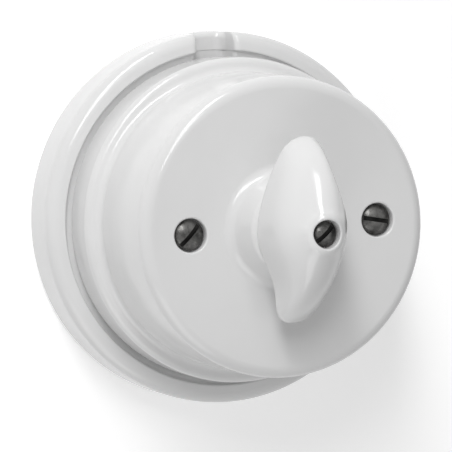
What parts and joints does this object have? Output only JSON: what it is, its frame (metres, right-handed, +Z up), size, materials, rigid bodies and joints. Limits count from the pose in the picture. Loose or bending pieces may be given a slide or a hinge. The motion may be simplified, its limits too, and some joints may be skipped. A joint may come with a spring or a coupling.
{
  "type": "rotary light switch",
  "caption": "Surface-mounted rotary light switch in white glazed porcelain: round base with cable notch, screwed cover and an S-shaped turning knob.",
  "frame": {"origin": "centre of the flat back face, on the wall", "axes": "+Z up with the cable notch at the top, +X right seen from the front, front towards -Y, wall in the plane Y = 0"},
  "size_m": [0.09, 0.08, 0.09],
  "materials": {
    "porcelain": "glossy white glaze",
    "steatite": "matt, unglazed",
    "aged_nickel": "nickel plate, dulled and dark with age",
    "screw_steel": "zinc-grey steel",
    "spindle_steel": "turned steel",
    "brass": "machined",
    "spring_bronze": "rolled strip",
    "fibre": "pressed fibre"
  },
  "bodies": {
    "base": {"base_plate": "porcelain", "bearing_bridge": "brass", "block_nut_left": "screw_steel", "block_nut_right": "screw_steel", "block_screw_left": "screw_steel", "block_screw_right": "screw_steel", "bridge_post_left": "brass", "bridge_post_right": "brass", "bridge_screw_left": "screw_steel", "bridge_screw_right": "screw_steel", "contact_block": "porcelain", "contact_spring_line": "spring_bronze", "contact_spring_load": "spring_bronze", "cover": "porcelain", "cover_pillar_left": "brass", "cover_pillar_right": "brass", "cover_screw_left": "aged_nickel", "cover_screw_right": "aged_nickel", "index_spring_left": "spring_bronze", "index_spring_right": "spring_bronze", "spring_post_left_lower": "brass", "spring_post_left_upper": "brass", "spring_post_right_lower": "brass", "spring_post_right_upper": "brass", "terminal_fixing_screw_line": "screw_steel", "terminal_fixing_screw_load": "screw_steel", "terminal_line": "brass", "terminal_load": "brass", "terminal_screw_line": "screw_steel", "terminal_screw_load": "screw_steel", "thrust_washer": "spindle_steel"},
    "rotor": {"contact_bar": "brass", "index_cam": "spindle_steel", "knob": "porcelain", "knob_screw": "aged_nickel", "knob_washer": "fibre", "retaining_clip": "spindle_steel", "spindle": "spindle_steel", "switch_drum": "steatite"}
  },
  "joints": [
    {"name": "knob_turn", "type": "hinge", "parent": "base", "child": "rotor", "pos_m": [0, 0, 0], "axis": [0, 1, 0], "continuous": true, "deforming": ["index_spring_left", "index_spring_right"]}
  ]
}
